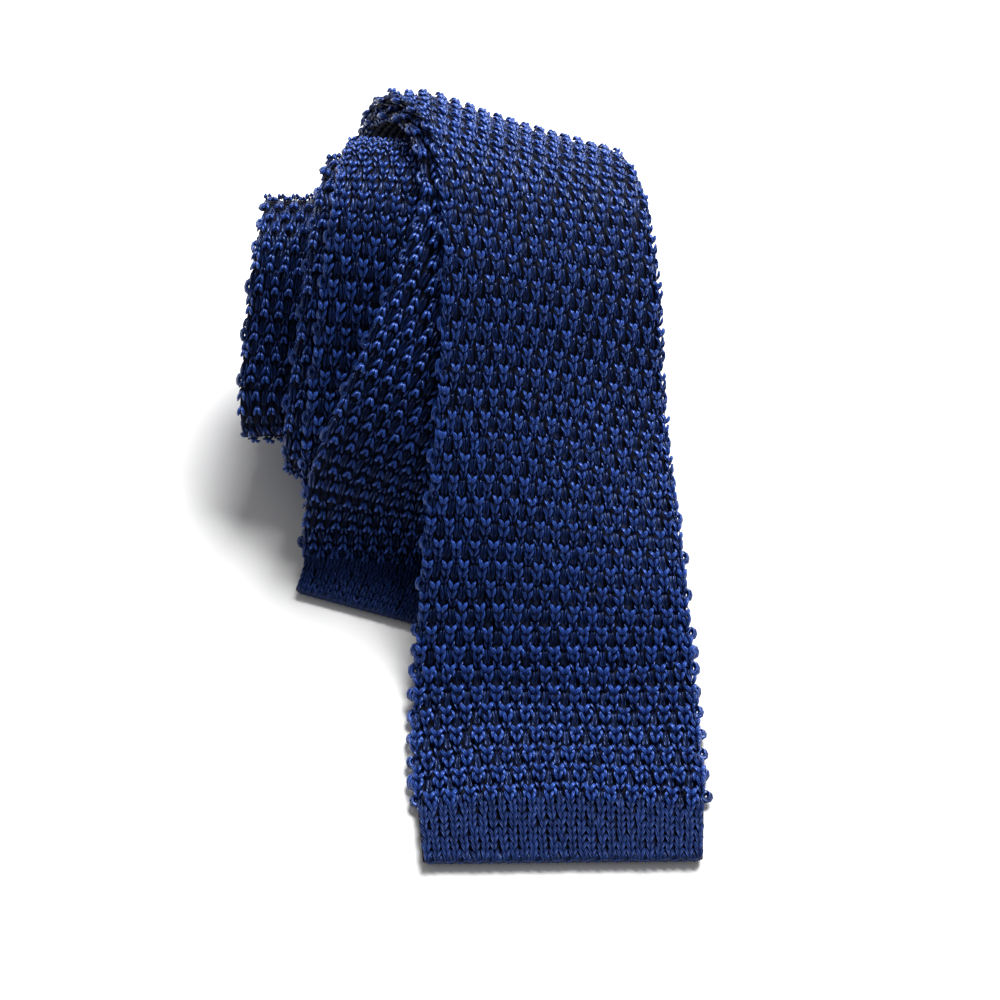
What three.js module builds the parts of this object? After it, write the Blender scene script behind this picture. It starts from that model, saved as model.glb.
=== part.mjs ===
import * as THREE from "three";

// A knit tie, folded in half and rolled up loosely, with its wide end run out
// over the front of the roll. Millimetres, +Z up, resting on z = 0.

// Sizes of the tie
const TIE_LENGTH = 1410;
const WIDTH = 60;
const THICK = 2.4;
const HEM_LENGTH = 13;
const SEAM_GAP = 0.35;

// Sizes of the roll
const ROLL_HEIGHT = 73.5;
const REACH = 175.2;
const PLY_PITCH = 3.55;

// The roll's right side hangs lower and lies farther back than its left side
const SAG = 25.5;
const SKEW = 9;
const SAG_FROM_X = -28;
const SAG_WIDTH = 50;
const SAG_RAMP_ZONE = { low: 3, high: 56 };
const SAG_CORE_ZONE = { low: 26, high: 42 };

// Mesh fineness
const STEP = 6.5;
const TURN_STEP = 13;
const CURVE_POINTS = 40;
const ACROSS = [
  { u: -1, half: 0.45 },
  { u: -0.955, half: 1 },
  { u: -0.5, half: 1 },
  { u: 0, half: 1 },
  { u: 0.5, half: 1 },
  { u: 0.955, half: 1 },
  { u: 1, half: 0.45 },
];

// Folds of the wide half, from its hem in to the core of the roll.
// y is a share of REACH, z of the roll's height over the resting ply, dir the
// heading in degrees, mid, span and under (the narrow half's shift to the side
// of the wide half above it) are shares of WIDTH.
const FOLDS = [
  { at: "hem edge", y: 0.000, z: 0.000, dir: 0, mid: 0.000, span: 0.933, under: 0.000 },
  { at: "hem top", y: 0.074, z: 0.000, dir: 0, mid: -0.003, span: 0.975, under: 0.000 },
  { at: "leaves table", y: 0.166, z: 0.000, dir: 0, mid: -0.013, span: 0.992, under: 0.000 },
  { at: "ramp foot", y: 0.314, z: 0.160, dir: 40, mid: -0.015, span: 0.950, under: 0.000 },
  { at: "ramp", y: 0.425, z: 0.426, dir: 44, mid: -0.010, span: 0.875, under: 0.000 },
  { at: "tail parts", y: 0.545, z: 0.696, dir: 40, mid: -0.007, span: 0.817, under: -0.225 },
  { at: "ramp head", y: 0.665, z: 0.923, dir: 26, mid: -0.017, span: 0.792, under: -0.075 },
  { at: "top", y: 0.759, z: 1.000, dir: 0, mid: -0.050, span: 0.775, under: -0.058 },
  { at: "back", y: 0.993, z: 0.475, dir: -90, mid: -0.342, span: 0.900, under: 0.000 },
  { at: "bottom", y: 0.805, z: 0.000, dir: 180, mid: -0.450, span: 0.917, under: -0.042 },
  { at: "bottom front", y: 0.645, z: 0.000, dir: 180, mid: -0.480, span: 0.917, under: -0.058 },
  { at: "heel", y: 0.528, z: 0.087, dir: 137, mid: -0.483, span: 0.908, under: -0.075 },
  { at: "nose", y: 0.494, z: 0.264, dir: 95, mid: -0.475, span: 0.900, under: -0.075 },
  { at: "slope", y: 0.575, z: 0.554, dir: 50, mid: -0.430, span: 0.883, under: -0.075 },
  { at: "top 2", y: 0.748, z: 0.886, dir: 0, mid: -0.358, span: 0.867, under: -0.075 },
  { at: "back 2", y: 0.916, z: 0.489, dir: -90, mid: -0.367, span: 0.833, under: -0.083 },
  { at: "bottom 2", y: 0.719, z: 0.104, dir: 180, mid: -0.550, span: 0.817, under: -0.150 },
  { at: "heel 2", y: 0.558, z: 0.166, dir: 137, mid: -0.575, span: 0.808, under: -0.183 },
  { at: "nose 2", y: 0.541, z: 0.276, dir: 94, mid: -0.575, span: 0.800, under: -0.200 },
  { at: "slope 2", y: 0.614, z: 0.481, dir: 50, mid: -0.533, span: 0.800, under: -0.225 },
  { at: "top 3", y: 0.739, z: 0.740, dir: 0, mid: -0.467, span: 0.783, under: -0.242 },
  { at: "back 3", y: 0.873, z: 0.489, dir: -90, mid: -0.517, span: 0.767, under: -0.217 },
  { at: "bottom 3", y: 0.725, z: 0.210, dir: 180, mid: -0.617, span: 0.767, under: -0.133 },
  { at: "nose 3", y: 0.596, z: 0.290, dir: 84, mid: -0.667, span: 0.750, under: -0.067 },
  { at: "slope 3", y: 0.656, z: 0.439, dir: 48, mid: -0.683, span: 0.750, under: -0.050 },
  { at: "top 4", y: 0.748, z: 0.624, dir: 0, mid: -0.700, span: 0.733, under: -0.033 },
  { at: "back 4", y: 0.827, z: 0.475, dir: -90, mid: -0.700, span: 0.733, under: 0.000 },
  { at: "bottom 4", y: 0.742, z: 0.315, dir: 180, mid: -0.700, span: 0.733, under: 0.000 },
  { at: "core", y: 0.679, z: 0.371, dir: 80, mid: -0.700, span: 0.733, under: 0.000 },
];
const PARTING = FOLDS.findIndex((fold) => fold.at === "tail parts");

// Folds of the narrow end, from where it parts from the wide half to its hem
const TAIL = [
  { at: "tail slope", y: 0.488, z: 0.447, dir: 240, mid: -0.380, span: 0.808 },
  { at: "tail drop", y: 0.451, z: 0.194, dir: 260, mid: -0.513, span: 0.808 },
  { at: "tail lands", y: 0.391, z: 0.000, dir: 180, mid: -0.553, span: 0.792 },
  { at: "tail edge", y: 0.340, z: 0.000, dir: 180, mid: -0.600, span: 0.767 },
];

const rad = (deg) => (deg * Math.PI) / 180;
const clamp = (v, lo, hi) => Math.min(Math.max(v, lo), hi);
const smooth = (v) => clamp(v, 0, 1) ** 2 * (3 - 2 * clamp(v, 0, 1));
const mix = (a, b, t) => a + (b - a) * t;

// Side view: a fold's row as a point on the ply's middle, and its heading
function station(fold) {
  return {
    y: fold.y * REACH,
    z: THICK / 2 + fold.z * (ROLL_HEIGHT - THICK),
    c: Math.cos(rad(fold.dir)),
    s: Math.sin(rad(fold.dir)),
    dir: fold.dir,
  };
}

// A smooth curve through the stations, as points in the side view
function sideCurve(stations) {
  const points = [];
  for (let i = 0; i + 1 < stations.length; i++) {
    const a = stations[i];
    const b = stations[i + 1];
    const turn = Math.abs(((((b.dir - a.dir + 180) % 360) + 360) % 360) - 180);
    const chord = Math.hypot(b.y - a.y, b.z - a.z);
    const reach = chord / (3 * Math.cos(rad(turn) / 4) ** 2);
    for (let k = 0; k < CURVE_POINTS; k++) {
      const t = k / CURVE_POINTS;
      const w = [(1 - t) ** 3, 3 * t * (1 - t) ** 2, 3 * t * t * (1 - t), t ** 3];
      points.push({
        y: w[0] * a.y + w[1] * (a.y + a.c * reach) + w[2] * (b.y - b.c * reach) + w[3] * b.y,
        z: w[0] * a.z + w[1] * (a.z + a.s * reach) + w[2] * (b.z - b.s * reach) + w[3] * b.z,
      });
    }
  }
  const last = stations[stations.length - 1];
  points.push({ y: last.y, z: last.z });
  return points;
}

function lengths(points) {
  const s = [0];
  for (let i = 1; i < points.length; i++) {
    const step = Math.hypot(points[i].y - points[i - 1].y, points[i].z - points[i - 1].z);
    s.push(s[i - 1] + step);
  }
  return s;
}

// The same curve moved sideways, toward the inside of the roll
function inset(points, distance) {
  return points.map((p, i) => {
    const a = points[Math.max(i - 1, 0)];
    const b = points[Math.min(i + 1, points.length - 1)];
    const d = Math.hypot(b.y - a.y, b.z - a.z);
    return {
      y: p.y + ((b.z - a.z) / d) * distance,
      z: p.z - ((b.y - a.y) / d) * distance,
      c: (b.y - a.y) / d,
      s: (b.z - a.z) / d,
    };
  });
}

// The whole tie in the side view, one hem to the other, with its stations' x
function tiePath() {
  const wide = sideCurve(FOLDS.map(station));
  const wideS = lengths(wide);
  const under = inset(wide, PLY_PITCH);
  const part = PARTING * CURVE_POINTS;
  const start = under[part];
  const parting = { y: start.y, z: start.z, c: -start.c, s: -start.s, dir: FOLDS[PARTING].dir + 180 };
  const tail = sideCurve([parting, ...TAIL.map(station)]);
  const tailS = lengths(tail);
  const underS = lengths(under);
  const bend = (Math.PI * PLY_PITCH) / 2;
  let fold = part;
  const total = (i) => wideS[i] + bend + underS[i] - underS[part] + tailS[tailS.length - 1];
  while (fold < wide.length - 1 && total(fold) < TIE_LENGTH) fold++;

  const path = wide.slice(0, fold + 1);
  const mid = { y: (wide[fold].y + under[fold].y) / 2, z: (wide[fold].z + under[fold].z) / 2 };
  for (let k = 1; k < 8; k++) {
    const t = (Math.PI * k) / 8;
    const out = Math.cos(t);
    const along = (Math.sin(t) * PLY_PITCH) / 2;
    path.push({
      y: mid.y + (wide[fold].y - mid.y) * out + under[fold].c * along,
      z: mid.z + (wide[fold].z - mid.z) * out + under[fold].s * along,
    });
  }
  const back = path.length;
  for (let i = fold; i >= part; i--) path.push({ y: under[i].y, z: under[i].z });
  path.push(...tail.slice(1));
  const s = lengths(path);

  const guide = [];
  const near = wideS[fold] - 15;
  FOLDS.forEach((row, r) => {
    const at = wideS[r * CURVE_POINTS];
    if (at < near) guide.push({ s: at, mid: row.mid, span: row.span });
  });
  const core = FOLDS[FOLDS.length - 1];
  guide.push({ s: wideS[fold] + bend / 2, mid: core.mid, span: core.span });
  for (let r = FOLDS.length - 1; r >= PARTING; r--) {
    const i = r * CURVE_POINTS;
    if (i > fold || wideS[i] >= near) continue;
    guide.push({ s: s[back + fold - i], mid: FOLDS[r].mid + FOLDS[r].under, span: FOLDS[r].span });
  }
  const tailFrom = s[s.length - tail.length];
  TAIL.forEach((row, r) => {
    guide.push({ s: tailFrom + tailS[(r + 1) * CURVE_POINTS], mid: row.mid, span: row.span });
  });
  return { path, s, guide, length: s[s.length - 1] };
}

// A smooth reading of one of the guide's columns at a distance along the tie
function read(guide, column, at) {
  let i = 0;
  while (i < guide.length - 2 && at >= guide[i + 1].s) i++;
  const slope = (k) => {
    const rise = (j) => (guide[j + 1][column] - guide[j][column]) / (guide[j + 1].s - guide[j].s);
    if (k === 0) return rise(0);
    if (k === guide.length - 1) return rise(k - 1);
    const before = guide[k].s - guide[k - 1].s;
    const after = guide[k + 1].s - guide[k].s;
    return (rise(k - 1) * after + rise(k) * before) / (before + after);
  };
  const h = guide[i + 1].s - guide[i].s;
  const t = clamp((at - guide[i].s) / h, 0, 1);
  const value =
    (2 * t ** 3 - 3 * t ** 2 + 1) * guide[i][column] +
    (t ** 3 - 2 * t ** 2 + t) * h * slope(i) +
    (-2 * t ** 3 + 3 * t ** 2) * guide[i + 1][column] +
    (t ** 3 - t ** 2) * h * slope(i + 1);
  return value * WIDTH;
}

// A point of the side view at a distance along the tie, straight on past its ends
function sidePoint(tie, at) {
  const { path, s } = tie;
  if (at <= 0) return { y: path[0].y + at, z: path[0].z };
  if (at >= tie.length) return { y: path[path.length - 1].y - (at - tie.length), z: path[path.length - 1].z };
  let lo = 0;
  let hi = s.length - 1;
  while (hi - lo > 1) {
    const m = (lo + hi) >> 1;
    if (s[m] <= at) lo = m;
    else hi = m;
  }
  const t = (at - s[lo]) / (s[hi] - s[lo]);
  return { y: mix(path[lo].y, path[hi].y, t), z: mix(path[lo].z, path[hi].z, t) };
}

// The sag and skew of the roll's right side
function settle(x, y, z) {
  const t = clamp((x - SAG_FROM_X) / SAG_WIDTH, 0, 1.1);
  const ramp = 1 - (1 - smooth((x + 22) / 18)) * smooth((y - 78) / 22);
  const low = mix(SAG_CORE_ZONE.low, SAG_RAMP_ZONE.low, ramp);
  const high = mix(SAG_CORE_ZONE.high, SAG_RAMP_ZONE.high, ramp);
  const sag = SAG * t ** (1.4 - 0.4 * smooth(z / 45)) * smooth((z - low) / (high - low));
  return new THREE.Vector3(x, y + SKEW * t ** 1.8 * smooth((y - 30) / 45), z - sag);
}

// A point on the middle of the cloth: distance along the tie, u from -1 to 1 across
function clothPoint(tie, at, u) {
  const near = clamp(at, 2, tie.length - 2);
  const lean = Math.atan((read(tie.guide, "mid", near + 2) - read(tie.guide, "mid", near - 2)) / 4);
  const half = (u * read(tie.guide, "span", at)) / 2;
  const side = sidePoint(tie, at - half * Math.sin(lean));
  return settle(read(tie.guide, "mid", at) + half * Math.cos(lean), side.y, side.z);
}

// Distances along the tie where the cloth gets a section
function cuts(tie, from, to) {
  const list = [from];
  let last = from;
  let turned = 0;
  for (let at = from; at < to - 1.2; at += 0.4) {
    const p = sidePoint(tie, at - 0.4);
    const q = sidePoint(tie, at);
    const r = sidePoint(tie, at + 0.4);
    const a = Math.atan2(q.z - p.z, q.y - p.y);
    const b = Math.atan2(r.z - q.z, r.y - q.y);
    turned += Math.abs(((((b - a) * 180) / Math.PI + 540) % 360) - 180);
    if (at - last >= STEP || (turned >= TURN_STEP && at - last >= 0.75)) {
      list.push(at);
      last = at;
      turned = 0;
    }
  }
  list.push(to);
  return list;
}

// A closed solid of the cloth between two distances along the tie
function cloth(tie, from, to) {
  const sections = cuts(tie, from, to);
  const n = ACROSS.length;
  const ring = 2 * n;
  const positions = [];
  for (const at of sections) {
    const upper = [];
    const lower = [];
    for (const { u, half } of ACROSS) {
      const p = clothPoint(tie, at, u);
      const along = clothPoint(tie, at + 0.5, u).sub(clothPoint(tie, at - 0.5, u));
      const across = clothPoint(tie, at, Math.min(u + 0.03, 1)).sub(clothPoint(tie, at, Math.max(u - 0.03, -1)));
      const normal = across.cross(along).normalize().multiplyScalar((half * THICK) / 2);
      upper.push(p.clone().add(normal));
      lower.unshift(p.clone().sub(normal));
    }
    for (const p of [...upper, ...lower]) positions.push(p.x, p.y, p.z);
  }
  const index = [];
  for (let i = 0; i + 1 < sections.length; i++) {
    for (let k = 0; k < ring; k++) {
      const a = i * ring + k;
      const b = i * ring + ((k + 1) % ring);
      index.push(a, b, b + ring, a, b + ring, a + ring);
    }
  }
  const end = (sections.length - 1) * ring;
  for (let k = 0; k + 1 < n; k++) {
    const over = ring - 1 - k;
    index.push(k, over, over - 1, k, over - 1, k + 1);
    index.push(end + k, end + over - 1, end + over, end + k, end + k + 1, end + over - 1);
  }
  const geometry = new THREE.BufferGeometry();
  geometry.setAttribute("position", new THREE.Float32BufferAttribute(positions, 3));
  geometry.setIndex(index);
  geometry.computeVertexNormals();
  return geometry;
}

const knit = new THREE.MeshStandardMaterial({ color: 0x1b2f5e, roughness: 0.8, metalness: 0 });
const plain = new THREE.MeshStandardMaterial({ color: 0x182a56, roughness: 0.75, metalness: 0 });
knit.name = "knit";
plain.name = "plain_knit";

const tie = tiePath();
const pieces = [
  { name: "front_hem", material: plain, from: 0, to: HEM_LENGTH },
  { name: "knit_body", material: knit, from: HEM_LENGTH + SEAM_GAP, to: tie.length - HEM_LENGTH - SEAM_GAP },
  { name: "tail_hem", material: plain, from: tie.length - HEM_LENGTH, to: tie.length },
];

const group = new THREE.Group();
group.name = "knit_tie";
for (const piece of pieces) {
  const mesh = new THREE.Mesh(cloth(tie, piece.from, piece.to), piece.material);
  mesh.name = piece.name;
  group.add(mesh);
}

// Origin at the middle of the underside's bounds
const bounds = new THREE.Box3().setFromObject(group);
const shift = new THREE.Vector3(
  -(bounds.min.x + bounds.max.x) / 2,
  -(bounds.min.y + bounds.max.y) / 2,
  -bounds.min.z,
);
for (const mesh of group.children) mesh.geometry.translate(shift.x, shift.y, shift.z);

export default group;
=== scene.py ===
import math

import bpy
import numpy as np
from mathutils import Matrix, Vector


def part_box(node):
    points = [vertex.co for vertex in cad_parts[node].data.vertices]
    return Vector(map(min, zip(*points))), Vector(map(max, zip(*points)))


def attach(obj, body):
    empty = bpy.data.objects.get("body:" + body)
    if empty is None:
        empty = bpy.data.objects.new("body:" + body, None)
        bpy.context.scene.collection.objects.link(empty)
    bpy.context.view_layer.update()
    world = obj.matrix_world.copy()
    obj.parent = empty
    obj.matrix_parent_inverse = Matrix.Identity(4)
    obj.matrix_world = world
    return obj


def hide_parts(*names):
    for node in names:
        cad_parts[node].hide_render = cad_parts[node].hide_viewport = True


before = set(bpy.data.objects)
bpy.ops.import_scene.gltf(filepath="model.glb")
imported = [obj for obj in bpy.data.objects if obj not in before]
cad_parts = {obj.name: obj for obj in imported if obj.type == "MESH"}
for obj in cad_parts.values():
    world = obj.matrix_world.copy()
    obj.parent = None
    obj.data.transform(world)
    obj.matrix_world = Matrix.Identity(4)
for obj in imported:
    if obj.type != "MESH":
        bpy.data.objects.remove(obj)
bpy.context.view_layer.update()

# Sizes of the tie, in millimetres, as its solids have them
TIE_LENGTH = 1410.0
WIDTH = 60.0
THICK = 2.4
HEM_LENGTH = 13.0
ROLL_HEIGHT = 73.5
REACH = 175.2
PLY_PITCH = 3.55

# The knit: one wale is a column of stitches, one repeat of the tuck pattern
# takes two rows of blobs, and every second wale is half a repeat further on. The
# stitches are drawn for wales as wide as DRAWN_WALE, and sized to the real ones
WALES = 29
DRAWN_WALE = 1.935
HEM_COURSES = 8
ROW_PITCH = 4.85
ROWS = [
    # row, along
    (1, 15.5), (5, 34.5), (9, 51.1), (13, 69.3),
    (17, 90.7), (21, 112.9), (25, 132.1), (28, 146.4),
]
# The four stitches of one repeat: how many rows each one lies before the blob
STITCH_STEPS = (0.0, 0.39, 0.77, 1.36)

# How far the rows of the knit run ahead of their middle, in millimetres, by the
# distance along the tie and the place across it: the cloth was pulled askew
ROW_DRIFT_ACROSS = (-0.95, -0.5, 0.0, 0.5, 0.95)
ROW_DRIFT = [
    # along, left edge, left, middle, right, right edge
    (0, 0.0, 0.0, 0.0, 0.0, 0.0),
    (7, -0.4, 0.1, 0.1, -0.4, -0.9),
    (13, -1.0, 0.4, 0.4, -0.8, -1.9),
    (25, -1.0, 0.1, 0.0, -1.3, -1.6),
    (34, -0.5, 0.5, 0.0, -0.6, -0.8),
    (43, 0.7, 0.9, 0.0, -0.7, -0.5),
    (51, 0.9, 0.7, 0.0, -1.3, -2.3),
    (60, 1.6, 1.5, 0.0, -2.4, -3.9),
    (70, 1.1, 1.0, 0.0, -2.5, -4.9),
    (79, -0.2, 0.7, 0.0, -2.3, -5.1),
    (91, -1.8, 0.0, 0.0, -1.6, -4.0),
    (102, -3.4, -1.0, 0.0, -1.1, -2.4),
    (113, -4.1, -1.0, 0.0, -0.6, -1.4),
    (123, -4.5, -1.5, 0.0, -0.4, -0.8),
    (132, -3.4, -1.1, 0.0, -0.2, -0.7),
    (141, -1.7, -0.5, 0.0, 0.1, -0.8),
    (155, 0.0, 0.0, 0.0, 0.0, -0.3),
    (170, 0.0, 0.0, 0.0, 0.0, 0.0),
]

# Folds of the wide half, from its hem in to the core of the roll: y is a share
# of REACH, z of the roll's height over the resting ply, heading in degrees,
# middle, span and the narrow half's shift to the side as shares of WIDTH
FOLDS = [
    # y, z, heading, middle, span, under
    (0.000, 0.000, 0, 0.000, 0.933, 0.000),
    (0.074, 0.000, 0, -0.003, 0.975, 0.000),
    (0.166, 0.000, 0, -0.013, 0.992, 0.000),
    (0.314, 0.160, 40, -0.015, 0.950, 0.000),
    (0.425, 0.426, 44, -0.010, 0.875, 0.000),
    (0.545, 0.696, 40, -0.007, 0.817, -0.225),
    (0.665, 0.923, 26, -0.017, 0.792, -0.075),
    (0.759, 1.000, 0, -0.050, 0.775, -0.058),
    (0.993, 0.475, -90, -0.342, 0.900, 0.000),
    (0.805, 0.000, 180, -0.450, 0.917, -0.042),
    (0.645, 0.000, 180, -0.480, 0.917, -0.058),
    (0.528, 0.087, 137, -0.483, 0.908, -0.075),
    (0.494, 0.264, 95, -0.475, 0.900, -0.075),
    (0.575, 0.554, 50, -0.430, 0.883, -0.075),
    (0.748, 0.886, 0, -0.358, 0.867, -0.075),
    (0.916, 0.489, -90, -0.367, 0.833, -0.083),
    (0.719, 0.104, 180, -0.550, 0.817, -0.150),
    (0.558, 0.166, 137, -0.575, 0.808, -0.183),
    (0.541, 0.276, 94, -0.575, 0.800, -0.200),
    (0.614, 0.481, 50, -0.533, 0.800, -0.225),
    (0.739, 0.740, 0, -0.467, 0.783, -0.242),
    (0.873, 0.489, -90, -0.517, 0.767, -0.217),
    (0.725, 0.210, 180, -0.617, 0.767, -0.133),
    (0.596, 0.290, 84, -0.667, 0.750, -0.067),
    (0.656, 0.439, 48, -0.683, 0.750, -0.050),
    (0.748, 0.624, 0, -0.700, 0.733, -0.033),
    (0.827, 0.475, -90, -0.700, 0.733, 0.000),
    (0.742, 0.315, 180, -0.700, 0.733, 0.000),
    (0.679, 0.371, 80, -0.700, 0.733, 0.000),
]
# The narrow half parts from the wide half at this fold
PARTING = 5

# Folds of the narrow end, from where it parts from the wide half to its hem
TAIL = [
    # y, z, heading, middle, span
    (0.488, 0.447, 240, -0.380, 0.808),
    (0.451, 0.194, 260, -0.513, 0.808),
    (0.391, 0.000, 180, -0.553, 0.792),
    (0.340, 0.000, 180, -0.600, 0.767),
]
# Points of the side view curve from fold to fold, and round the bend at the core
CURVE_POINTS = 40
BEND_POINTS = 8
# The folds' guide rows end this far before the bend, and the tie's lean to the
# side is read this far either way, in millimetres
CLEAR_OF_BEND = 15.0
LEAN_STEP = 2.0
# A millimetre in metres
MM = 0.001


def smooth(v):
    v = np.clip(v, 0, 1)
    return v * v * (3 - 2 * v)


def unit(v):
    return v / np.maximum(np.linalg.norm(v, axis=-1, keepdims=True), 1e-12)


def stations(table):
    """Rows of a fold table as side view points (y, z) with their headings."""
    return [(r[0] * REACH, THICK / 2 + r[1] * (ROLL_HEIGHT - THICK), r[2]) for r in table]


def side_curve(rows):
    """A smooth side view curve through stations (y, z, heading in degrees)."""
    points = []
    t = (np.arange(CURVE_POINTS) / CURVE_POINTS)[:, None]
    for a, b in zip(rows[:-1], rows[1:]):
        turn = abs((b[2] - a[2] + 180) % 360 - 180)
        chord = math.hypot(b[0] - a[0], b[1] - a[1])
        reach = chord / (3 * math.cos(math.radians(turn) / 4) ** 2)
        p, q = np.array(a[:2]), np.array(b[:2])
        leaving = np.array([math.cos(math.radians(a[2])), math.sin(math.radians(a[2]))]) * reach
        coming = np.array([math.cos(math.radians(b[2])), math.sin(math.radians(b[2]))]) * reach
        points.append((1 - t) ** 3 * p + 3 * t * (1 - t) ** 2 * (p + leaving)
                      + 3 * t * t * (1 - t) * (q - coming) + t ** 3 * q)
    points.append(np.array([rows[-1][:2]]))
    return np.vstack(points)


def lengths(points):
    return np.concatenate([[0], np.cumsum(np.hypot(*np.diff(points, axis=0).T))])


def tie_path():
    """The whole tie in the side view, one hem to the other, with its guide rows."""
    wide = side_curve(stations(FOLDS))
    wide_s = lengths(wide)
    around = np.empty_like(wide)
    around[1:-1] = wide[2:] - wide[:-2]
    around[0], around[-1] = wide[1] - wide[0], wide[-1] - wide[-2]
    heading = unit(around)
    under = wide + np.stack([heading[:, 1], -heading[:, 0]], 1) * PLY_PITCH
    under_s = lengths(under)
    part = PARTING * CURVE_POINTS
    parting = (under[part][0], under[part][1], FOLDS[PARTING][2] + 180)
    tail = side_curve([parting] + stations(TAIL))
    tail_s = lengths(tail)
    bend = math.pi * PLY_PITCH / 2

    def total(i):
        return wide_s[i] + bend + under_s[i] - under_s[part] + tail_s[-1]

    fold = part
    while fold < len(wide) - 1 and total(fold) < TIE_LENGTH:
        fold += 1
    middle = (wide[fold] + under[fold]) / 2
    t = (np.pi * np.arange(1, BEND_POINTS) / BEND_POINTS)[:, None]
    nose = middle + (wide[fold] - middle) * np.cos(t) + heading[fold] * np.sin(t) * PLY_PITCH / 2
    path = np.vstack([wide[:fold + 1], nose, under[part:fold + 1][::-1], tail[1:]])
    s = lengths(path)
    back = fold + 1 + len(nose)

    near = wide_s[fold] - CLEAR_OF_BEND
    guide = [(wide_s[r * CURVE_POINTS], row[3], row[4])
             for r, row in enumerate(FOLDS) if wide_s[r * CURVE_POINTS] < near]
    guide.append((wide_s[fold] + bend / 2, FOLDS[-1][3], FOLDS[-1][4]))
    for r in range(len(FOLDS) - 1, PARTING - 1, -1):
        i = r * CURVE_POINTS
        if i <= fold and wide_s[i] < near:
            guide.append((s[back + fold - i], FOLDS[r][3] + FOLDS[r][5], FOLDS[r][4]))
    tail_from = s[len(s) - len(tail)]
    for r, row in enumerate(TAIL):
        guide.append((tail_from + tail_s[(r + 1) * CURVE_POINTS], row[3], row[4]))
    return path, s, np.array(guide), wide_s[fold] + bend / 2


PATH, PATH_S, GUIDE, FOLD_AT = tie_path()
LENGTH = PATH_S[-1]


def guide_read(column, at):
    """A smooth reading of a guide column (1 middle, 2 span) in millimetres."""
    x, y = GUIDE[:, 0], GUIDE[:, column]
    h, rise = np.diff(x), np.diff(y) / np.diff(x)
    slope = np.empty_like(y)
    slope[1:-1] = (rise[:-1] * h[1:] + rise[1:] * h[:-1]) / (h[1:] + h[:-1])
    slope[0], slope[-1] = rise[0], rise[-1]
    i = np.clip(np.searchsorted(x, at, side="right") - 1, 0, len(x) - 2)
    t = np.clip((at - x[i]) / h[i], 0, 1)
    value = ((2 * t ** 3 - 3 * t ** 2 + 1) * y[i] + (t ** 3 - 2 * t ** 2 + t) * h[i] * slope[i]
             + (-2 * t ** 3 + 3 * t ** 2) * y[i + 1] + (t ** 3 - t ** 2) * h[i] * slope[i + 1])
    return value * WIDTH


# The roll's right side sags and slides back, in millimetres: both start at
# SAG_START and are full SAG_WIDTH further right
SAG = 25.5
SKEW = 9.0
SAG_START = -28.0
SAG_WIDTH = 50.0
SAG_LIMIT = 1.1
# Heights between which the sag sets in, on the inner turns and on the rest
INNER_SAG = (26.0, 42.0)
OUTER_SAG = (3.0, 56.0)
# Where the inner turns end to the right, and where they begin to the back
INNER_RIGHT = (-22.0, -4.0)
INNER_FRONT = (78.0, 100.0)
# Where the skew sets in to the back
SKEW_FROM = (30.0, 75.0)
# How sharply the two grow to the right: the sag less sharply higher up
SKEW_GROWTH = 1.8
SAG_GROWTH = 1.4
SAG_GROWTH_LOST = 0.4
SAG_GROWTH_TO = 45.0


def between(v, start, stop):
    """0 up to start and 1 from stop on, with a smooth rise between them."""
    return smooth((v - start) / (stop - start))


def settle(x, y, z):
    """The sag and skew of the roll's right side."""
    t = np.clip((x - SAG_START) / SAG_WIDTH, 0, SAG_LIMIT)
    outer = 1 - (1 - between(x, *INNER_RIGHT)) * between(y, *INNER_FRONT)
    low = INNER_SAG[0] + (OUTER_SAG[0] - INNER_SAG[0]) * outer
    high = INNER_SAG[1] + (OUTER_SAG[1] - INNER_SAG[1]) * outer
    growth = SAG_GROWTH - SAG_GROWTH_LOST * between(z, 0, SAG_GROWTH_TO)
    sag = SAG * t ** growth * between(z, low, high)
    skew = SKEW * t ** SKEW_GROWTH * between(y, *SKEW_FROM)
    return np.stack([x, y + skew, z - sag], -1)


def cloth_point(at, u):
    """The middle of the cloth at a distance along the tie, u from -1 to 1 across."""
    at, u = np.broadcast_arrays(np.asarray(at, float), np.asarray(u, float))
    near = np.clip(at, LEAN_STEP, LENGTH - LEAN_STEP)
    ahead, behind = guide_read(1, near + LEAN_STEP), guide_read(1, near - LEAN_STEP)
    lean = np.arctan((ahead - behind) / (2 * LEAN_STEP))
    half = u * guide_read(2, at) / 2
    side = at - half * np.sin(lean)
    y = np.interp(side, PATH_S, PATH[:, 0]) + np.minimum(side, 0) - np.maximum(side - LENGTH, 0)
    z = np.interp(side, PATH_S, PATH[:, 1])
    return settle(guide_read(1, at) + half * np.cos(lean), y, z)


# From the table's frame to the part's, by the wide end's own corner
hem_low, hem_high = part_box("front_hem")
hem_line = cloth_point([0.0, 0.0], [-1.0, 1.0])
SHIFT = np.array([
    hem_high.x * 1000 - cloth_point(HEM_LENGTH, 1.0)[0],
    hem_low.y * 1000 - hem_line[:, 1].min(),
    0.0,
])

# How far off the cloth's directions are read: along it in millimetres, and across
# it as a share of half its width
ALONG_STEP = 0.5
ACROSS_STEP = 0.03


def cloth_frame(at, u):
    """Point (mm, part's frame), and unit vectors across, along and out of the cloth."""
    at, u = np.asarray(at, float), np.asarray(u, float)
    p = cloth_point(at, u) + SHIFT
    along = unit(cloth_point(at + ALONG_STEP, u) - cloth_point(at - ALONG_STEP, u))
    across = cloth_point(at, u + ACROSS_STEP) - cloth_point(at, u - ACROSS_STEP)
    out = unit(np.cross(across, along))
    return p, unit(np.cross(along, out)), along, out


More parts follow.
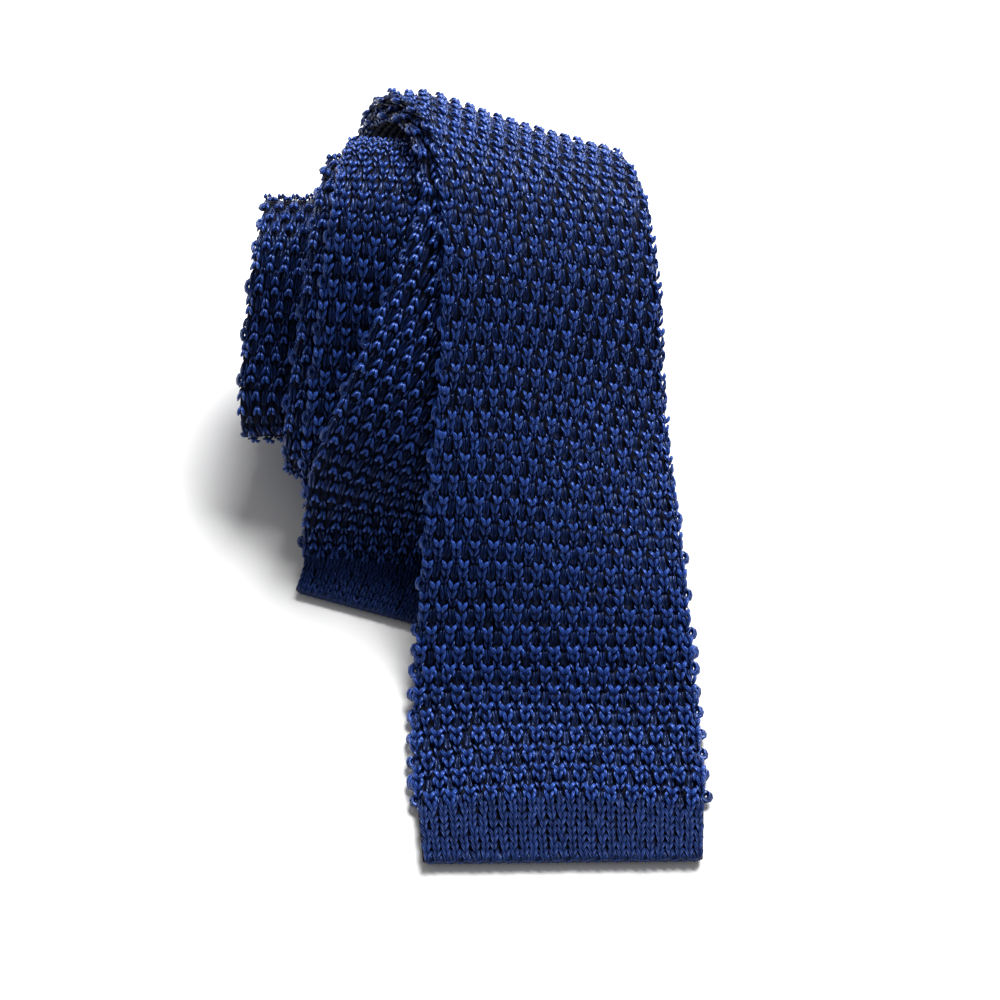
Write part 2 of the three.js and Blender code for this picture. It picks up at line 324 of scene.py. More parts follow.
def add_mesh(name, points_mm, faces, uv, materials=()):
    """A mesh object, shaded smooth, from points in millimetres and a uv pair for each."""
    mesh = bpy.data.meshes.new(name)
    mesh.from_pydata((np.asarray(points_mm) * MM).tolist(), [], [list(f) for f in faces])
    layer = mesh.uv_layers.new(name="yarn_uv")
    corners = np.empty(len(mesh.loops), np.int64)
    mesh.loops.foreach_get("vertex_index", corners)
    layer.data.foreach_set("uv", np.asarray(uv, float)[corners].ravel())
    for material in materials:
        mesh.materials.append(material)
    mesh.polygons.foreach_set("use_smooth", [True] * len(mesh.polygons))
    mesh.update()
    obj = bpy.data.objects.new(name, mesh)
    bpy.context.scene.collection.objects.link(obj)
    return obj


def srgb(hex_colour):
    """An sRGB hex colour as linear RGBA."""
    values = [int(hex_colour[i:i + 2], 16) / 255 for i in (1, 3, 5)]
    return [v / 12.92 if v <= 0.04045 else ((v + 0.055) / 1.055) ** 2.4 for v in values] + [1.0]


def add_node(tree, kind, values=None, links=None, **settings):
    """Adds a node with its settings, its sockets' values and what feeds them."""
    node = tree.nodes.new(kind)
    for name, value in settings.items():
        setattr(node, name, value)
    for socket, value in (values or {}).items():
        node.inputs[socket].default_value = value
    for socket, source in (links or {}).items():
        tree.links.new(source, node.inputs[socket])
    return node


# Silk yarn: its plies, one turn of their twist in millimetres, the grooves
# between them in metres, and how finely its dye is uneven
PLIES = 4
TWIST = 3.2
GROOVE_DEPTH = 0.00014
PATCHES_PER_METRE = 900.0
# How much the patches of dye and the painted shade in the ply grooves count in the colour
PATCH_SHARE = 0.45
GROOVE_SHARE = 0.75
# The relief of the knit where it is only bump, in metres
GROUND_RELIEF = 0.0005


def silk_yarn(name, light, dark, gloss=1.0):
    """Silk yarn, dyed navy, of several plies twisted together: a soft sheen, fine slanting
    grooves between the plies as bump, and painted shade in those grooves that leaves lighter
    streaks along the yarn."""
    material = bpy.data.materials.new(name)
    material.use_nodes = True
    tree = material.node_tree
    tree.nodes.clear()
    uv = add_node(tree, "ShaderNodeUVMap", uv_map="yarn_uv")
    split = add_node(tree, "ShaderNodeSeparateXYZ", links={0: uv.outputs[0]})
    turns = add_node(tree, "ShaderNodeMath", {1: 2 * math.pi / TWIST}, {0: split.outputs[1]},
                     operation="MULTIPLY")
    round_it = add_node(tree, "ShaderNodeMath", {1: 2 * math.pi * PLIES}, {0: split.outputs[0]},
                        operation="MULTIPLY")
    slant = add_node(tree, "ShaderNodeMath", None, {0: turns.outputs[0], 1: round_it.outputs[0]},
                     operation="ADD")
    plies = add_node(tree, "ShaderNodeMath", None, {0: slant.outputs[0]}, operation="SINE")
    groove = add_node(tree, "ShaderNodeMath", {1: 0.5, 2: 0.5}, {0: plies.outputs[0]},
                      operation="MULTIPLY_ADD")
    place = add_node(tree, "ShaderNodeTexCoord")
    patches = add_node(tree, "ShaderNodeTexNoise", {"Scale": PATCHES_PER_METRE, "Detail": 2.0},
                       {"Vector": place.outputs["Object"]})
    # Each stitch's shade: its random tone, painted light on raised stitches and painted shade on deep
    # ones
    shade = add_node(tree, "ShaderNodeAttribute", attribute_name="shade")
    mixed = add_node(tree, "ShaderNodeMath", {1: PATCH_SHARE},
                     {0: patches.outputs[0], 2: shade.outputs["Fac"]}, operation="MULTIPLY_ADD")
    depth = add_node(tree, "ShaderNodeMath", {1: GROOVE_SHARE},
                     {0: groove.outputs[0], 2: mixed.outputs[0]}, operation="MULTIPLY_ADD")
    # The ramp's dark end is the painted shade, its light end the painted light
    ramp = add_node(tree, "ShaderNodeValToRGB", None, {0: depth.outputs[0]})
    ramp.color_ramp.elements[0].position = 0.25
    ramp.color_ramp.elements[0].color = srgb(dark)
    ramp.color_ramp.elements[1].position = 1.0
    ramp.color_ramp.elements[1].color = srgb(light)
    bump = add_node(tree, "ShaderNodeBump", {"Strength": 1.0, "Distance": GROOVE_DEPTH},
                    {"Height": groove.outputs[0]})
    surface = add_node(
        tree, "ShaderNodeBsdfPrincipled",
        {"Roughness": 0.34 + 0.4 * (1 - gloss), "IOR": 1.5, "Specular IOR Level": 0.9 * gloss,
         "Specular Tint": srgb("#9ab6ff"), "Sheen Weight": 0.05 * gloss, "Sheen Roughness": 0.4,
         "Sheen Tint": srgb("#5f80d8")},
        {"Base Color": ramp.outputs[0], "Normal": bump.outputs[0]})
    add_node(tree, "ShaderNodeOutputMaterial", None, {0: surface.outputs[0]})
    return material


def knitted_ground(name, light, dark):
    """The silk knit behind the raised stitches: upright wales with a stitch every half row as
    bump, coloured near black as painted shade under the raised stitches, with painted shade
    in the grooves between the wales."""
    material = bpy.data.materials.new(name)
    material.use_nodes = True
    tree = material.node_tree
    tree.nodes.clear()
    uv = add_node(tree, "ShaderNodeUVMap", uv_map="yarn_uv")
    split = add_node(tree, "ShaderNodeSeparateXYZ", links={0: uv.outputs[0]})
    wale = add_node(tree, "ShaderNodeMath", {1: math.pi * WALES / WIDTH}, {0: split.outputs[0]},
                    operation="MULTIPLY")
    ridge = add_node(tree, "ShaderNodeMath", None, {0: wale.outputs[0]}, operation="COSINE")
    round_wale = add_node(tree, "ShaderNodeMath", None, {0: ridge.outputs[0]}, operation="ABSOLUTE")
    course = add_node(tree, "ShaderNodeMath", {1: 4 * math.pi / ROW_PITCH}, {0: split.outputs[1]},
                      operation="MULTIPLY")
    bead = add_node(tree, "ShaderNodeMath", None, {0: course.outputs[0]}, operation="SINE")
    swell = add_node(tree, "ShaderNodeMath", {1: 0.25, 2: 0.75}, {0: bead.outputs[0]},
                     operation="MULTIPLY_ADD")
    height = add_node(tree, "ShaderNodeMath", None,
                      {0: round_wale.outputs[0], 1: swell.outputs[0]}, operation="MULTIPLY")
    # Painted shade: the colour darkens from the wales' ridges into the grooves between them
    ramp = add_node(tree, "ShaderNodeValToRGB", None, {0: height.outputs[0]})
    ramp.color_ramp.elements[0].color = srgb(dark)
    ramp.color_ramp.elements[1].color = srgb(light)
    bump = add_node(tree, "ShaderNodeBump", {"Strength": 1.0, "Distance": GROUND_RELIEF},
                    {"Height": height.outputs[0]})
    surface = add_node(tree, "ShaderNodeBsdfPrincipled",
                       {"Roughness": 0.7, "IOR": 1.5, "Specular IOR Level": 0.1},
                       {"Base Color": ramp.outputs[0], "Normal": bump.outputs[0]})
    add_node(tree, "ShaderNodeOutputMaterial", None, {0: surface.outputs[0]})
    return material


# A leg's thickness from its foot to its head, as a share of its radius
LEG_THICKNESS = (0.0, 0.82, 1.0, 0.86, 0.0)


def leg(points, radius, sides):
    """One leg of a stitch: a closed tube that is fat in the middle and pointed at
    both ends. Points are (x, y, h) in millimetres, from its foot to its head."""
    points = np.array(points, float)
    t = np.linspace(0, 1, len(LEG_THICKNESS))
    knots = np.linspace(0, 1, len(points))
    weights = np.array([[np.prod([(v - knots[m]) / (knots[k] - knots[m])
                                  for m in range(len(points)) if m != k])
                         for k in range(len(points))] for v in t])
    line = weights @ points
    heading = unit(np.gradient(line, axis=0))
    side = unit(np.cross(heading, [0, 0, 1.0]))
    top = np.cross(side, heading)
    thick = radius * np.array(LEG_THICKNESS)
    run = np.concatenate([[0], np.cumsum(np.linalg.norm(np.diff(line, axis=0), axis=1))])
    verts, uv, faces = [line[0]], [(0, 0)], []
    for k in (1, 2, 3):
        for j in range(sides):
            a = 2 * math.pi * j / sides
            verts.append(line[k] + thick[k] * (math.cos(a) * side[k] + math.sin(a) * top[k]))
            uv.append((j / sides, run[k]))
    verts.append(line[4])
    uv.append((0, run[4]))
    last = len(verts) - 1
    for j in range(sides):
        n = (j + 1) % sides
        faces.append((0, 1 + n, 1 + j))
        for k in (0, 1):
            a = 1 + k * sides
            faces.append((a + j, a + n, a + sides + n, a + sides + j))
        faces.append((last, 1 + 2 * sides + j, 1 + 2 * sides + n))
    return np.array(verts), faces, uv


def stitch(name, points, radius, sides):
    """A stitch of two mirrored legs."""
    verts, faces, uv = leg(points, radius, sides)
    other = verts * [-1, 1, 1]
    count = len(verts)
    faces = list(faces) + [tuple(count + i for i in reversed(f)) for f in faces]
    return add_mesh(name, np.vstack([verts, other]), faces, uv + uv)


# The edge loop: its steps round, its sides, and the yarn of a step in millimetres
LOOP_STEPS = 8
LOOP_SIDES = 4
LOOP_STEP_YARN = 0.9


def edge_loop(name, half_wide, half_long, radius):
    """The small loop of yarn that stands out at the cloth's edge."""
    verts, faces, uv = [], [], []
    for i in range(LOOP_STEPS):
        a = 2 * math.pi * i / LOOP_STEPS
        middle = np.array([half_wide * math.cos(a), half_long * math.sin(a), 0])
        outward = unit(np.array([half_long * math.cos(a), half_wide * math.sin(a), 0]))
        here = i * LOOP_SIDES
        ahead = (i + 1) % LOOP_STEPS * LOOP_SIDES
        for j in range(LOOP_SIDES):
            b = 2 * math.pi * j / LOOP_SIDES
            verts.append(middle + radius * (math.cos(b) * outward + math.sin(b) * np.array([0, 0, 1])))
            uv.append((j / LOOP_SIDES, i * LOOP_STEP_YARN))
            n = (j + 1) % LOOP_SIDES
            faces.append((here + j, ahead + j, ahead + n, here + n))
    return add_mesh(name, verts, faces, uv)


def stitch_kinds(ending, sides):
    """Every kind of stitch, in millimetres about its own middle: x across, y towards
    the narrow end, h up from the ground of the knit."""
    shapes = [
        # name, the foot, middle and head of its right leg, radius
        ("raised_stitch", [(0.14, -1.10, 0.60), (0.52, -0.10, 1.42), (1.02, 1.00, 0.80)], 0.47),
        ("lower_stitch", [(0.14, -1.45, 0.20), (0.54, -0.10, 0.95), (1.00, 1.25, 0.50)], 0.45),
        ("thin_stitch", [(0.18, -1.10, 0.15), (0.50, 0.00, 0.50), (0.88, 1.05, 0.34)], 0.33),
        ("held_stitch", [(0.34, -2.30, -0.10), (0.48, 0.00, 0.02), (0.34, 2.30, -0.10)], 0.42),
        ("plain_stitch", [(0.08, -1.60, 0.05), (0.40, -0.05, 0.66), (0.84, 1.40, 0.02)], 0.40),
        ("flared_stitch", [(1.00, -1.25, 0.60), (0.98, -0.15, 1.15), (0.60, 1.05, 1.05)], 0.40),
    ]
    made = [stitch(name + ending, points, radius, sides) for name, points, radius in shapes]
    return made + [edge_loop("edge_loop" + ending, half_wide=0.72, half_long=1.20, radius=0.64)]


RAISED, LOWER, THIN, HELD, PLAIN, FLARED, LOOP = range(7)
FULL_STITCHES = stitch_kinds("", sides=6)
LIGHT_STITCHES = stitch_kinds("_light", sides=4)


def stitch_tree(kinds):
    """Geometry Nodes: each kind of stitch on the points of its kind, turned and
    sized by the points' own attributes."""
    tree = bpy.data.node_groups.new("Knit", "GeometryNodeTree")
    face = tree.interface
    face.new_socket("Points", in_out="INPUT", socket_type="NodeSocketGeometry")
    face.new_socket("Yarn", in_out="INPUT", socket_type="NodeSocketMaterial")
    for obj in kinds:
        face.new_socket(obj.name, in_out="INPUT", socket_type="NodeSocketObject")
    face.new_socket("Geometry", in_out="OUTPUT", socket_type="NodeSocketGeometry")
    start = add_node(tree, "NodeGroupInput")
    kind = add_node(tree, "GeometryNodeInputNamedAttribute", {"Name": "kind"}, data_type="INT")
    turn = add_node(tree, "GeometryNodeInputNamedAttribute", {"Name": "turn"},
                    data_type="FLOAT_VECTOR")
    size = add_node(tree, "GeometryNodeInputNamedAttribute", {"Name": "size"},
                    data_type="FLOAT_VECTOR")
    joined = add_node(tree, "GeometryNodeJoinGeometry")
    for k, obj in enumerate(kinds):
        same = add_node(tree, "FunctionNodeCompare", data_type="INT", operation="EQUAL")
        a, b = [s for s in same.inputs if s.type == "INT"]
        tree.links.new(kind.outputs[0], a)
        b.default_value = k
        shape = add_node(tree, "GeometryNodeObjectInfo", None, {"Object": start.outputs[obj.name]},
                         transform_space="ORIGINAL")
        placed = add_node(tree, "GeometryNodeInstanceOnPoints", None, {
            "Points": start.outputs["Points"], "Selection": same.outputs[0],
            "Instance": shape.outputs["Geometry"], "Rotation": turn.outputs[0],
            "Scale": size.outputs[0]})
        tree.links.new(placed.outputs[0], joined.inputs[0])
    real = add_node(tree, "GeometryNodeRealizeInstances", None, {0: joined.outputs[0]})
    clad = add_node(tree, "GeometryNodeSetMaterial", None,
                    {"Geometry": real.outputs[0], "Material": start.outputs["Yarn"]})
    end = add_node(tree, "NodeGroupOutput")
    tree.links.new(clad.outputs[0], end.inputs[0])
    return tree


def euler(across, along, out):
    """XYZ Euler angles of frames given by their three unit vectors."""
    return np.stack([np.arctan2(along[:, 2], out[:, 2]),
                     np.arcsin(np.clip(-across[:, 2], -1, 1)),
                     np.arctan2(across[:, 1], across[:, 0])], 1)


# The cloth's weight presses stitches flat that face down and lie lower than
# PRESSED_BELOW, by these shares of their relief and of their rise from the cloth
PRESSED_RELIEF = 0.68
PRESSED_RISE = 0.35
PRESSED_BELOW = 4.5
PRESSED_FADE = 2.0
DOWN_FROM = 0.2
DOWN_FADE = 0.5
# How far stitches are turned at random, in radians
TURN_UNEVEN = 0.09


def knit(name, stitches, material, at, u, side, kind, size, shade, rise):
    """Stitches of these kinds at these places on one face of the cloth, as one mesh.
    side is 1 for the outer face of the wide half and -1 for the other face."""
    p, across, along, out = cloth_frame(at, u)
    out = out * np.asarray(side, float)[:, None]
    across = np.cross(along, out)
    down = smooth((-out[:, 2] - DOWN_FROM) / DOWN_FADE)
    pressed = down * smooth((PRESSED_BELOW - p[:, 2]) / PRESSED_FADE)
    unchanged = np.ones(len(at))
    size = size * np.stack([unchanged, unchanged, 1 - PRESSED_RELIEF * pressed], 1)
    rise = rise * (1 - PRESSED_RISE * pressed)
    points = (p + out * rise[:, None]) * MM
    tree = stitch_tree(stitches)
    mesh = bpy.data.meshes.new(name + "_places")
    mesh.from_pydata(points.tolist(), [], [])
    # shade holds each stitch's random tone and its painted light and shade
    for label, kind_of, values in (
        ("kind", "INT", np.asarray(kind, np.int32)),
        ("shade", "FLOAT", np.asarray(shade, np.float32)),
    ):
        layer = mesh.attributes.new(label, kind_of, "POINT")
        layer.data.foreach_set("value", values)
    turn = euler(across, along, out) + TURN_UNEVEN * rng.normal(0, 1, (len(at), 3))
    for label, values in (("turn", turn), ("size", size)):
        layer = mesh.attributes.new(label, "FLOAT_VECTOR", "POINT")
        layer.data.foreach_set("vector", np.asarray(values, np.float32).ravel())
    places = bpy.data.objects.new(name + "_places", mesh)
    bpy.context.scene.collection.objects.link(places)
    modifier = places.modifiers.new("knit", "NODES")
    modifier.node_group = tree
    sockets = {s.name: s.identifier for s in tree.interface.items_tree
               if s.item_type == "SOCKET" and s.in_out == "INPUT"}
    modifier[sockets["Yarn"]] = material
    for obj in stitches:
        modifier[sockets[obj.name]] = obj
    graph = bpy.context.evaluated_depsgraph_get()
    made = bpy.data.meshes.new_from_object(places.evaluated_get(graph), depsgraph=graph)
    places.modifiers.remove(modifier)
    bpy.data.objects.remove(places)
    made.name = name
    made.polygons.foreach_set("use_smooth", [True] * len(made.polygons))
    obj = bpy.data.objects.new(name, made)
    bpy.context.scene.collection.objects.link(obj)
    return obj


rng = np.random.default_rng(7)


def drift(at, u):
    """How far a row's stitch at u runs ahead of the row's middle."""
    table = np.array(ROW_DRIFT, float)
    columns = np.stack([np.interp(at, table[:, 0], table[:, k]) for k in range(1, 6)])
    place = np.interp(u, ROW_DRIFT_ACROSS, range(5))
    k = np.minimum(place.astype(int), 3)
    each = np.arange(len(k))
    return columns[k, each] + (place - k) * (columns[k + 1, each] - columns[k, each])


def row_at(row):
    """Distance along the tie of a row of blobs, or of a place between two rows."""
    first, last = ROWS[0], ROWS[-1]
    steady = np.where(row < first[0], (row - first[0]) * ROW_PITCH, 0)
    steady = steady + np.where(row > last[0], (row - last[0]) * ROW_PITCH, 0)
    return np.interp(row, [r for r, _ in ROWS], [a for _, a in ROWS]) + steady


# Near the wide end's hem the blobs are bolder and flare at their foot, up to these
# distances along the tie, and RIGHT_HIGHER more at the right edge
FLARED_TO = 48.0
BOLD_TO = 46.0
BOLD_FADE = 8.0
RIGHT_HIGHER = 12.0
FLARE_AHEAD = 0.9
# Rows tried beyond those of the steady pitch, so that none is missed
SPARE_ROWS = 6
# The ground's edge and the edge wale, as shares of half the width
CLOTH_EDGE = 0.985
EDGE_WALE = 0.975
# Up to this distance along the tie there is an edge loop at every row
LOOPS_EVERY_ROW_TO = 50.0
LAST_EDGE_ROW = 320


def tuck_places(start, stop, side, wales):
    """Places of the tuck pattern's stitches between two distances along the tie."""
    rows = np.arange(1, int(stop / ROW_PITCH) + SPARE_ROWS)
    row, wale, step = (v.ravel() for v in np.meshgrid(rows, wales, range(4), indexing="ij"))
    at = row_at(row - np.array(STITCH_STEPS)[step])
    keep = (row % 2 == wale % 2) & (at >= start) & (at < stop)
    at, u, kind = at[keep], ((wale + 0.5) / WALES * 2 - 1)[keep], step[keep]
    flare = (kind == LOWER) & (at < FLARED_TO + RIGHT_HIGHER * np.clip(u, 0, 1)) & (side > 0)
    return (np.append(at, at[flare] + FLARE_AHEAD), np.append(u, u[flare]),
            np.append(kind, np.full(flare.sum(), FLARED)), side)


def plain_places(start, stop, side):
    """Places of a hem's plain stitches between two distances along the tie."""
    course, wale = (v.ravel() for v in np.meshgrid(range(HEM_COURSES), range(WALES), indexing="ij"))
    at = start + (course + 0.5) * (stop - start) / HEM_COURSES
    return at, ((wale + 0.5) / WALES * 2 - 1) * CLOTH_EDGE, np.full(len(at), PLAIN), side


def edge_places(start, stop):
    """The wale that turns round both edges of the cloth, with a loop every second
    row, and every row near the wide end's hem."""
    row = np.arange(2, 2 * LAST_EDGE_ROW) / 2
    at = row_at(row)
    near_hem = (row % 1 == 0) & (at < LOOPS_EVERY_ROW_TO)
    kind = np.where((row % 2 == 1) | near_hem, LOOP, LOWER)
    keep = (at >= start) & (at < stop)
    at, kind = at[keep], kind[keep]
    u = np.where(kind == LOOP, 1.0, EDGE_WALE)
    return np.tile(at, 2), np.concatenate([-u, u]), np.tile(kind, 2), 1


# For each kind of stitch: how much wider it is near the wide end's hem, and its painted light
# and shade against MEAN_SHADE: painted highlight on raised stitches, painted shade on deep ones
WIDER_NEAR_HEM = (0.12, -0.05, 0.0, -0.30, 0.0, 0.0, 0.0)
PAINTED_LIGHT_BY_KIND = (0.38, 0.10, -0.12, -0.38, 0.14, 0.20, 0.0)
MEAN_SHADE = 0.05
BOLD_RELIEF = 0.18
# How unevenly the yarn knits up: as shares, but along the tie in millimetres
SIZE_UNEVEN = 0.05
RELIEF_UNEVEN = 0.06
SHADE_UNEVEN = 0.10
ALONG_UNEVEN = 0.08
ACROSS_UNEVEN = 0.004


def knit_places(name, stitches, material, places, rise=0.55, relief=1.0):
    """Knits stitches at these places, each a little uneven as silk yarn knits up."""
    at, u, kind, side = places
    count = len(at)
    span = guide_read(2, at) / WALES / DRAWN_WALE
    near_hem = 1 - smooth((at - BOLD_TO - RIGHT_HIGHER * np.clip(u, 0, 1)) / BOLD_FADE)
    bold = near_hem * np.isin(kind, (RAISED, LOWER, THIN))
    wider = np.array(WIDER_NEAR_HEM)[kind] * near_hem
    uneven = rng.normal(0, 1, (count, 3))
    size = np.stack([span * (1 + SIZE_UNEVEN * uneven[:, 0] + wider),
                     1 + SIZE_UNEVEN * uneven[:, 1],
                     relief * (1 + RELIEF_UNEVEN * uneven[:, 2] + BOLD_RELIEF * bold)], 1)
    # Each stitch's shade: its random tone plus its kind's painted light and shade
    shade = MEAN_SHADE + SHADE_UNEVEN * uneven[:, 1] + np.array(PAINTED_LIGHT_BY_KIND)[kind]
    placed = at + drift(at, u) + ALONG_UNEVEN * rng.normal(0, 1, count)
    across = u + ACROSS_UNEVEN * rng.normal(0, 1, count)
    return knit(name, stitches, material, placed, across, np.full(count, side), kind,
                size, shade, np.full(count, rise))


# How far the ground's stitched face and its other face lie from the middle of the
# cloth, and the length over which the fold swaps them, in millimetres
SEEN_FACE = 0.62
OTHER_FACE = 1.10
SWAP_LENGTH = 10.0
# Points across the ground as shares of half its width, and its thickness there
GROUND_ACROSS = (-CLOTH_EDGE, -0.95, -0.8, -0.6, -0.4, -0.2, 0.0,
                 0.2, 0.4, 0.6, 0.8, 0.95, CLOTH_EDGE)
GROUND_ROUND = (0.35, 0.9) + (1.0,) * 9 + (0.9, 0.35)


def cloth_body(name, start, stop, step, material):
    """The ground of the knit between two distances: a closed flat tube of cloth.
    Its face without raised stitches is the thicker one; the fold swaps the two."""
    u = np.array(GROUND_ACROSS)
    edge_round = np.array(GROUND_ROUND)[None, :, None]
    at = np.linspace(start, stop, int((stop - start) / step) + 1)
    a, b = (v.ravel() for v in np.meshgrid(at, u, indexing="ij"))
    p, _, _, out = cloth_frame(a + drift(a, b), b)
    p, out = p.reshape(len(at), len(u), 3), out.reshape(len(at), len(u), 3)
    past_fold = smooth((at - FOLD_AT + SWAP_LENGTH / 2) / SWAP_LENGTH)
    swap = past_fold[:, None, None] * (OTHER_FACE - SEEN_FACE)
    upper = p + out * edge_round * (SEEN_FACE + swap)
    lower = (p - out * edge_round * (OTHER_FACE - swap))[:, ::-1]
    ring = np.concatenate([upper, lower], 1)
    n = 2 * len(u)
    verts = ring.reshape(-1, 3)
    across_mm = u * WIDTH / 2
    uv = np.stack(np.broadcast_arrays(np.concatenate([across_mm, across_mm[::-1]])[None, :],
                                      at[:, None]), -1).reshape(-1, 2)
    faces = []
    for i in range(len(at) - 1):
        for k in range(n):
            q, r = i * n + k, i * n + (k + 1) % n
            faces.append((q, r, r + n, q + n))
    end = (len(at) - 1) * n
    for k in range(len(u) - 1):
        over = n - 1 - k
        faces.append((k, over, over - 1, k + 1))
        faces.append((end + k, end + k + 1, end + over - 1, end + over))
    return add_mesh(name, verts, faces, uv, [material])


# The rim of a hem: its reach as a share of half the width, its sides, its points
# for each wale, and its thickness halfway and at its swells, and at its ends
RIM_EDGE = 0.97
RIM_SIDES = 8
RIM_POINTS = 4
RIM_HALFWAY = 0.86
RIM_SWELL = 0.14
RIM_END = 0.5


def hem_rim(name, at, radius, material):
    """The cast-off edge of a hem: a thick cord of yarn, swelling at every wale."""
    u = np.linspace(-RIM_EDGE, RIM_EDGE, RIM_POINTS * WALES + 1)
    p, _, along, out = cloth_frame(np.full(len(u), at), u)
    swell = radius * (RIM_HALFWAY + RIM_SWELL * np.cos(np.pi * WALES * (u + 1)))
    swell[0] = swell[-1] = RIM_END * radius
    ring = np.stack([p + swell[:, None] * (math.cos(a) * along + math.sin(a) * out)
                     for a in 2 * math.pi * np.arange(RIM_SIDES) / RIM_SIDES], 1)
    verts = np.vstack([ring.reshape(-1, 3), p[:1], p[-1:]])
    across_mm = u * WIDTH / 2
    uv = [(j / RIM_SIDES, x) for x in across_mm for j in range(RIM_SIDES)]
    uv += [(0, across_mm[0]), (0, across_mm[-1])]
    faces = []
    starts = [i * RIM_SIDES for i in range(len(u))]
    tip = RIM_SIDES * len(u)
    for j in range(RIM_SIDES):
        n = (j + 1) % RIM_SIDES
        faces += [(a + j, a + n, b + n, b + j) for a, b in zip(starts[:-1], starts[1:])]
        faces += [(tip, n, j), (tip + 1, starts[-1] + j, starts[-1] + n)]
    return add_mesh(name, verts, faces, uv, [material])


# The yarn's dark colour gives the painted shade in grooves and deep stitches, its light colour the
# painted light on raised ones
yarn = silk_yarn("navy_silk_yarn_tuck_knit", "#27499c", "#030922")
# The hems' yarn is the same silk coloured darker: painted shade on the plain knit of the hems
plain_yarn = silk_yarn("navy_silk_yarn_plain_knit", "#172d66", "#02071a", 0.6)
# The ground's near-black colours are painted shade for the cloth under the raised stitches
ground_yarn = knitted_ground("navy_silk_ground_of_the_knit", "#05112f", "#01030d")

TAIL_FROM = LENGTH - HEM_LENGTH
# The body's ground laps under the hems, and the hems' ground ends inside their rims
HEM_LAP = 0.5
RIM_COVER = 0.3
# The distance from one section of the ground to the next
BODY_STEP = 2.2
HEM_STEP = 1.4
ground = cloth_body("cloth_ground", HEM_LENGTH - HEM_LAP, TAIL_FROM + HEM_LAP, BODY_STEP,
                    ground_yarn)
front_ground = cloth_body("front_hem_ground", RIM_COVER, HEM_LENGTH, HEM_STEP, ground_yarn)
tail_ground = cloth_body("tail_hem_ground", TAIL_FROM, LENGTH - RIM_COVER, HEM_STEP, ground_yarn)

# The outer turn and the narrow end are seen over their whole width, the inner
# turns only along their edges: the distances along the tie where they begin
BLADE_FROM = HEM_LENGTH - 0.3
BLADE_MIDDLE = 105.0
BACK_FROM = 200.0
INNER_FROM = 300.0
NARROW_FROM = LENGTH - 135.0
EVERY_WALE = range(WALES)
LEFT_WALES = range(0, 15)
RIGHT_WALES = range(24, WALES)
SEEN = [
    ("blade_stitches_low", FULL_STITCHES, BLADE_FROM, BLADE_MIDDLE, 1, EVERY_WALE),
    ("blade_stitches_high", FULL_STITCHES, BLADE_MIDDLE, BACK_FROM, 1, EVERY_WALE),
    ("roll_back_stitches", FULL_STITCHES, BACK_FROM, INNER_FROM, 1, EVERY_WALE),
    ("inner_turns_left", LIGHT_STITCHES, INNER_FROM, FOLD_AT, 1, LEFT_WALES),
    ("inner_turns_right", LIGHT_STITCHES, INNER_FROM, FOLD_AT, 1, RIGHT_WALES),
    ("under_ply_left", LIGHT_STITCHES, FOLD_AT, NARROW_FROM, -1, LEFT_WALES),
    ("under_ply_right", LIGHT_STITCHES, FOLD_AT, NARROW_FROM, -1, RIGHT_WALES),
    ("narrow_end_stitches", FULL_STITCHES, NARROW_FROM, TAIL_FROM - 1.0, -1, EVERY_WALE),
]
# The other face of the outer turn, seen from the left under its top fold
INSIDE_FROM = 120.0
INSIDE_TO = 225.0
INSIDE_WALES = range(0, 14)
# The hems' rims: how far from the end of the tie, and how thick
RIM_AT = 0.7
RIM_RADIUS = 1.1
pieces = [knit_places(name, stitches, yarn, tuck_places(start, stop, side, wales))
          for name, stitches, start, stop, side, wales in SEEN]
pieces.append(knit_places("edge_stitches", LIGHT_STITCHES, yarn,
                          edge_places(HEM_LENGTH + 1, TAIL_FROM - 1), rise=0.0))
pieces.append(knit_places("roll_inside_stitches", LIGHT_STITCHES, yarn,
                          tuck_places(INSIDE_FROM, INSIDE_TO, -1, INSIDE_WALES),
                          rise=0.95, relief=0.45))

front_plain = knit_places("front_hem_stitches", FULL_STITCHES, plain_yarn,
                          plain_places(0.2, HEM_LENGTH + 0.4, 1), rise=0.6)
tail_plain = knit_places("tail_hem_stitches", FULL_STITCHES, plain_yarn,
                         plain_places(TAIL_FROM - 0.4, LENGTH - 0.2, -1), rise=0.6)
pieces += [hem_rim("front_hem_rim", RIM_AT, RIM_RADIUS, plain_yarn),
           hem_rim("tail_hem_rim", LENGTH - RIM_AT, RIM_RADIUS, plain_yarn)]

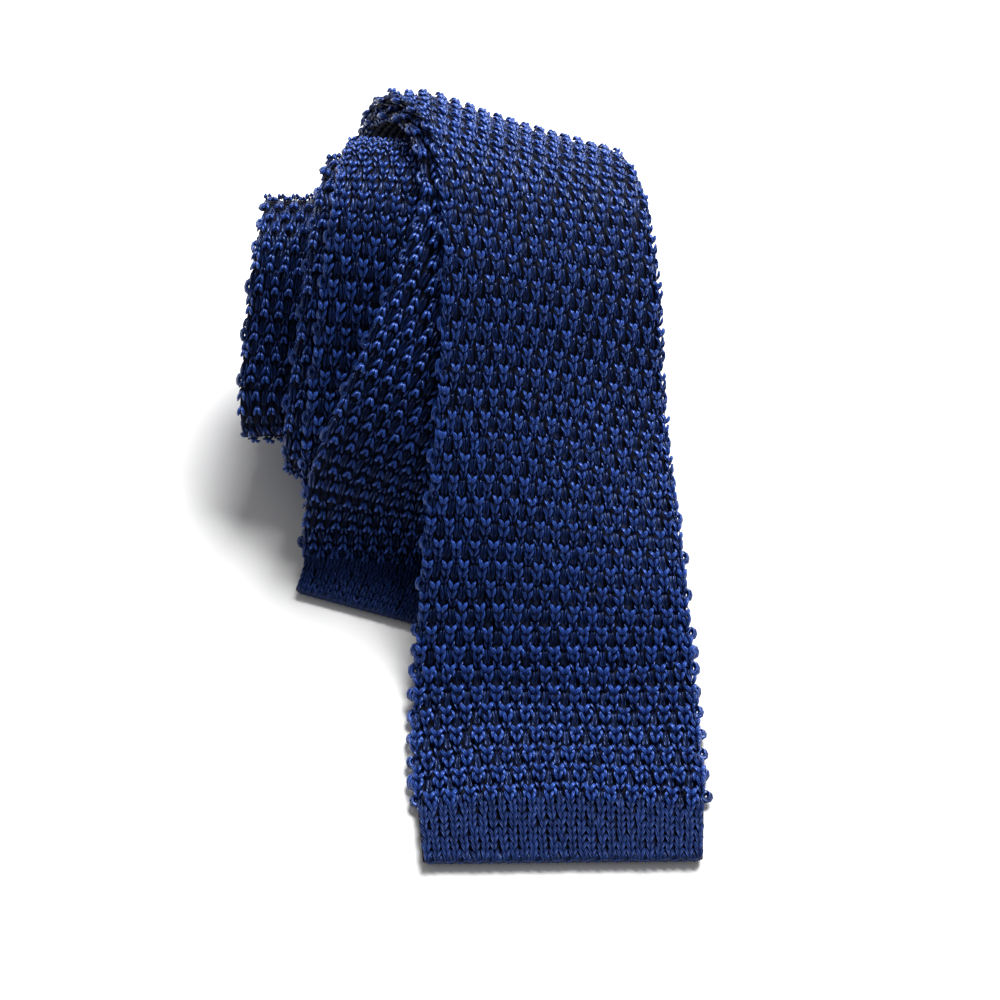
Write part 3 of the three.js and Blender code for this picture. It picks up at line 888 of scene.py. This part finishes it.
for obj in [ground, front_ground, tail_ground, front_plain, tail_plain] + pieces:
    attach(obj, "root")
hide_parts("knit_body")
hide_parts("front_hem")
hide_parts("tail_hem")
for obj in FULL_STITCHES + LIGHT_STITCHES:
    bpy.data.objects.remove(obj)


# Matt white paper just under the tie, in metres, and even white light with one
# window behind the tie and to its right
FLOOR_SIZE = 6
FLOOR_HEIGHT = -0.0005
SKY = 0.25
WINDOW_POWER = 27
WINDOW_SIZE = 0.6
WINDOW_PLACE = (0.32, 0.60, 0.90)
WINDOW_AIM = (0, 0, 0.03)
# The camera: its place over the table in millimetres, its angle in degrees from
# straight down, its lens and the width of its film
CAMERA_PLACE = (-12.4, -173.4, 318.5)
CAMERA_ANGLE = 40
CAMERA_LENS = 64.8
FILM_WIDTH = 36


def floor_and_light():
    bpy.ops.mesh.primitive_plane_add(size=FLOOR_SIZE, location=(0, 0, FLOOR_HEIGHT))
    floor = bpy.context.object
    floor.name = "floor"
    material = bpy.data.materials.new("matt_white_paper")
    material.use_nodes = True
    paper = material.node_tree.nodes["Principled BSDF"]
    paper.inputs["Base Color"].default_value = srgb("#ffffff")
    paper.inputs["Roughness"].default_value = 0.9
    floor.data.materials.append(material)
    world = bpy.data.worlds.new("studio")
    bpy.context.scene.world = world
    world.use_nodes = True
    world.node_tree.nodes["Background"].inputs[0].default_value = srgb("#ffffff")
    world.node_tree.nodes["Background"].inputs[1].default_value = SKY
    bpy.context.scene.view_settings.view_transform = "Standard"
    window = bpy.data.lights.new("window", "AREA")
    window.energy = WINDOW_POWER
    window.size = WINDOW_SIZE
    holder = bpy.data.objects.new("window", window)
    holder.location = WINDOW_PLACE
    aim = Vector(WINDOW_AIM) - holder.location
    holder.rotation_euler = aim.to_track_quat("-Z", "Y").to_euler()
    bpy.context.scene.collection.objects.link(holder)


def add_camera():
    camera = bpy.data.cameras.new("camera")
    camera.lens = CAMERA_LENS
    camera.sensor_width = FILM_WIDTH
    holder = bpy.data.objects.new("camera", camera)
    holder.location = (np.array(CAMERA_PLACE) + SHIFT) * MM
    holder.rotation_euler = (math.radians(CAMERA_ANGLE), 0, 0)
    bpy.context.scene.collection.objects.link(holder)
    bpy.context.scene.camera = holder


floor_and_light()
add_camera()
